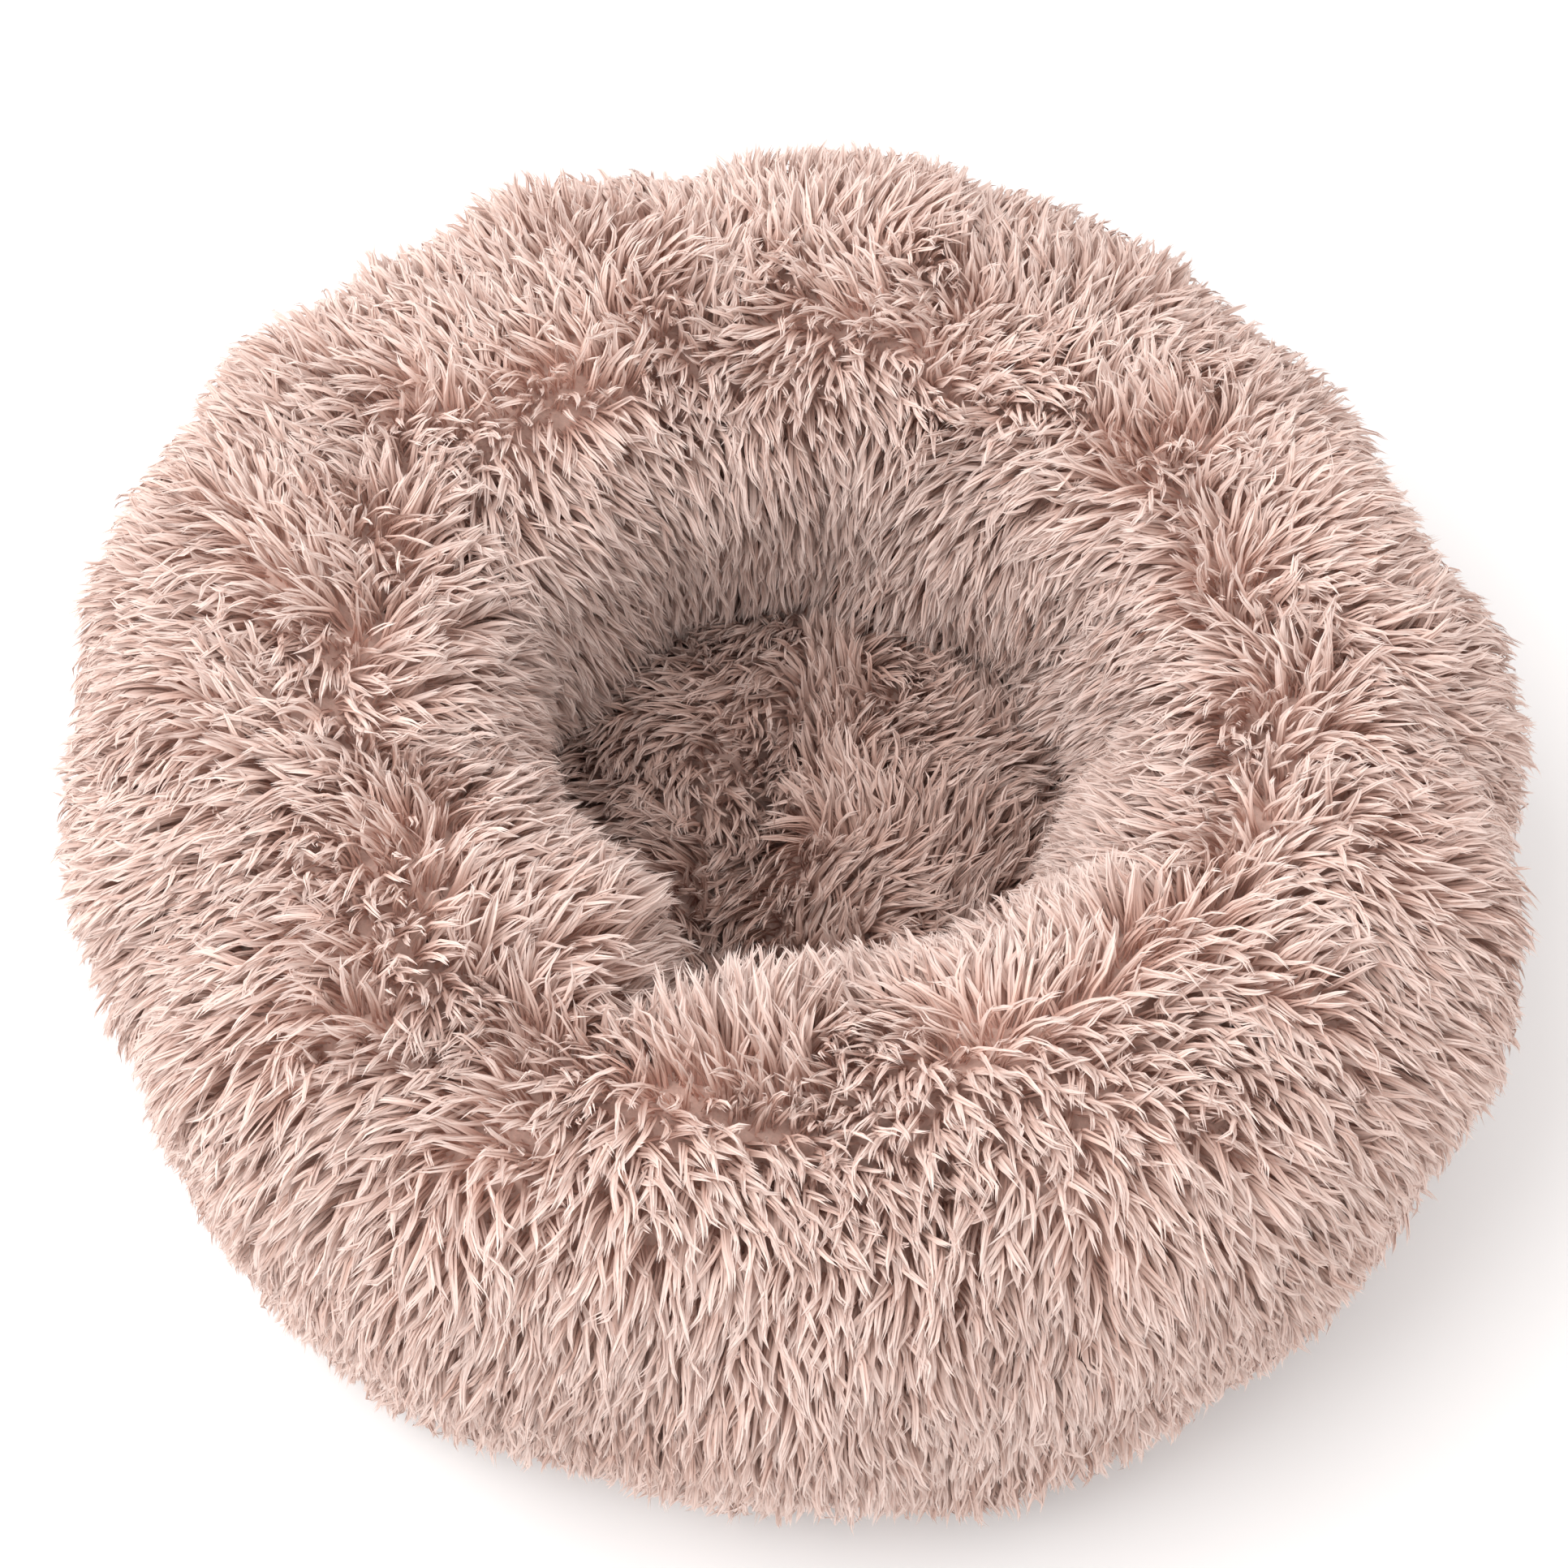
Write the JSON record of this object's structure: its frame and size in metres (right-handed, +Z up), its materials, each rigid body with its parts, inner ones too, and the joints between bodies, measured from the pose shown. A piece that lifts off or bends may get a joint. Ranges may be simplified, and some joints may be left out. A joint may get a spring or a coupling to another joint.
{
  "type": "pet cushion bed",
  "caption": "Round long-pile donut bed for a cat or small dog, with a fibre-filled ring, a padded fur well and a zipped grip base.",
  "frame": {"origin": "on the floor, under the centre of the bed", "axes": "+Z up out of the well, +X along the zip towards its closed end, -Y the front"},
  "size_m": [0.6, 0.6, 0.195],
  "materials": {
    "long_pile_fur": "shaggy polyester plush, 35 mm pile, dusty pink taupe",
    "liner_cloth": "plain non-woven polypropylene",
    "polyester_fibre": "loose hollow fibre filling",
    "grip_cloth": "woven oxford cloth with rubber grip dots",
    "zip_tape": "woven tape",
    "zip_coil": "nylon coil",
    "zip_metal": "nickel-plated zinc",
    "label_satin": "blank satin ribbon"
  },
  "bodies": {
    "bed": {"bolster_fur_cover": "long_pile_fur", "bolster_liner_bag": "liner_cloth", "bolster_fibre_fill": "polyester_fibre", "well_fur_panel": "long_pile_fur", "pad_liner_bag": "liner_cloth", "pad_fibre_fill": "polyester_fibre", "base_panel_front": "grip_cloth", "base_panel_rear": "grip_cloth", "zip_tape_front": "zip_tape", "zip_tape_rear": "zip_tape", "zip_teeth_front": "zip_coil", "zip_teeth_rear": "zip_coil", "zip_top_stop_front": "zip_metal", "zip_top_stop_rear": "zip_metal", "zip_bottom_stop": "zip_metal", "care_label": "label_satin"},
    "slider": {"zip_slider": "zip_metal"},
    "pull": {"zip_pull": "zip_metal"}
  },
  "joints": [
    {"name": "zip_travel", "type": "slide", "parent": "bed", "child": "slider", "axis": [-1, 0, 0], "range_m": [0, 0.272]},
    {"name": "pull_swing", "type": "hinge", "parent": "slider", "child": "pull", "pos_m": [0.1372, 0, 0.0041], "axis": [0, -1, 0], "range_deg": [0, 178]}
  ]
}
